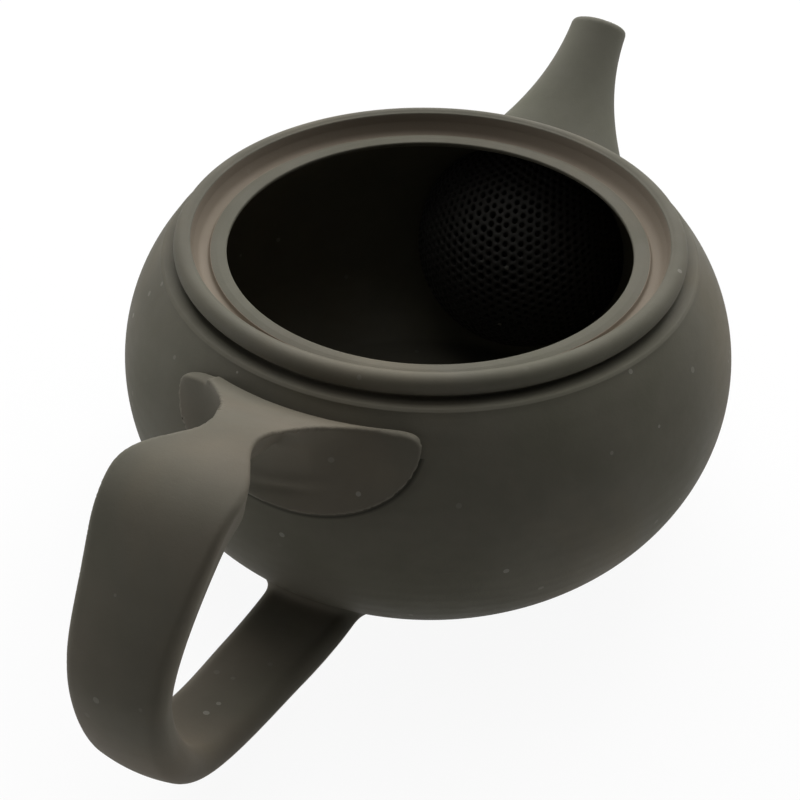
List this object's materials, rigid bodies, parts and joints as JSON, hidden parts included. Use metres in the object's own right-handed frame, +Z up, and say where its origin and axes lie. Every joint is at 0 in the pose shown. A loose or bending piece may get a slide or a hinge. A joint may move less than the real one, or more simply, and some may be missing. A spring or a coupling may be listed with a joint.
{
  "type": "back-handled teapot without lid",
  "caption": "Small round clay teapot, lid off, with a loop handle opposite the spout and a pierced clay dome strainer inside.",
  "frame": {"origin": "centre of the flat base, on the axis the pot is thrown about", "axes": "+X from the pot's axis toward the spout, -X toward the handle, +Y to the left seen from the handle, +Z up"},
  "size_m": [0.1897, 0.109, 0.0633],
  "materials": {
    "body_clay": "matte unglazed",
    "spout_clay": "matte unglazed",
    "handle_clay": "matte unglazed",
    "strainer_clay": "matte unglazed"
  },
  "bodies": {
    "root": {"body": "body_clay", "spout": "spout_clay", "handle": "handle_clay", "strainer": "strainer_clay"}
  },
  "joints": []
}
